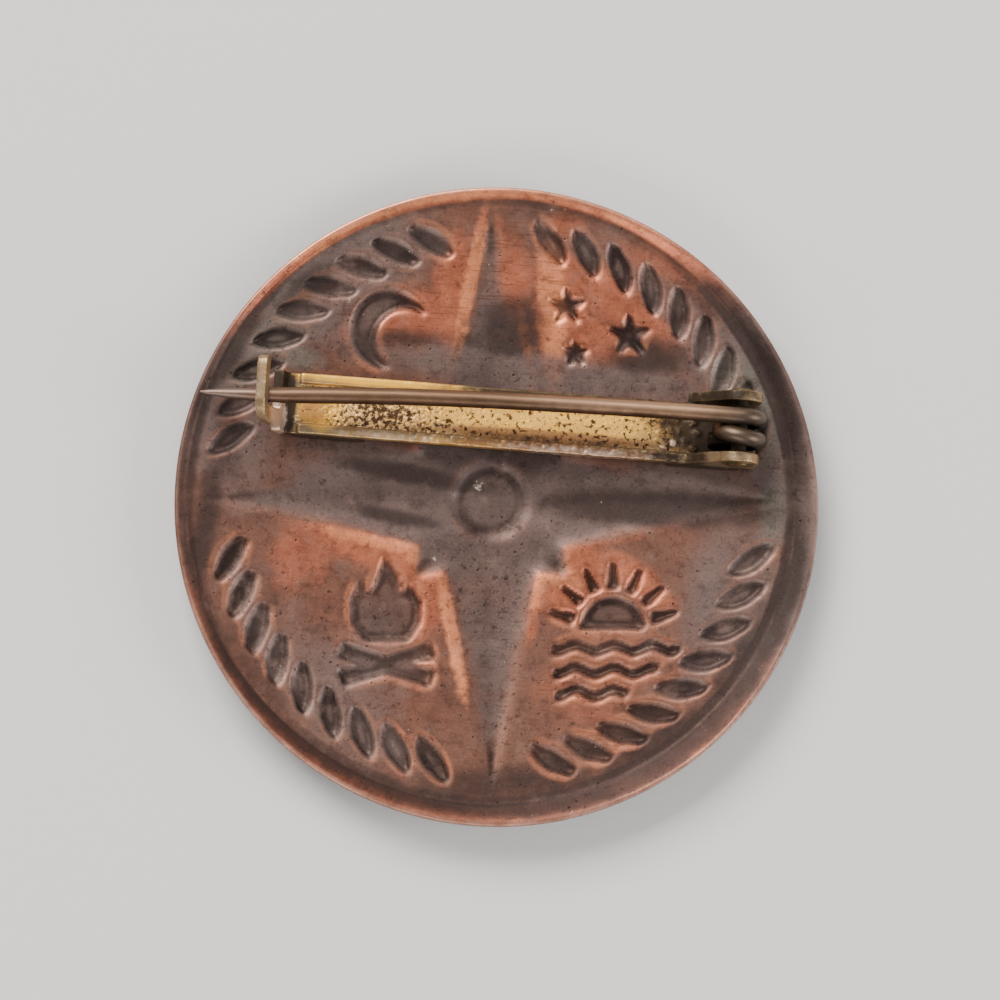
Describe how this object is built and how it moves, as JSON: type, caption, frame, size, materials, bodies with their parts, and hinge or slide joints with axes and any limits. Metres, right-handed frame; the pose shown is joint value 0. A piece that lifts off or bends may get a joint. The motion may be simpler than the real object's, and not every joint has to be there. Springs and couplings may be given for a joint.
{
  "type": "scout camp pin",
  "caption": "Round struck copper badge with a soldered brass brooch fitting and a coiled wire pin held under a hook, lying on its front.",
  "frame": {"origin": "middle of the disc, on the surface that the badge lies on, front down", "axes": "+X along the brooch channel from its hook to its hinge, +Z out of the badge's back, towards the pin"},
  "size_m": [0.038, 0.038, 0.0063],
  "materials": {
    "copper": "struck copper sheet with a brown and orange tarnish",
    "brass": "folded brass sheet, worn bright on top, with grey solder at its edges",
    "rivet": "brass wire with a dark tarnish",
    "wire": "drawn wire with a brown tarnish, brighter on top"
  },
  "bodies": {
    "badge": {"struck_disc": "copper", "brooch_channel": "brass"},
    "rivet": {"hinge_rivet": "rivet"},
    "pin": {"wire_pin": "wire"}
  },
  "joints": [
    {"name": "pin_swing", "type": "hinge", "parent": "badge", "child": "rivet", "pos_m": [0.01384, 0.00537, 0.00459], "axis": [0, 1, 0], "range_deg": [0, 120]},
    {"name": "pin_rock", "type": "hinge", "parent": "rivet", "child": "pin", "pos_m": [0.01384, 0.00532, 0.00459], "axis": [0, 0, -1], "range_deg": [0, 7]}
  ]
}
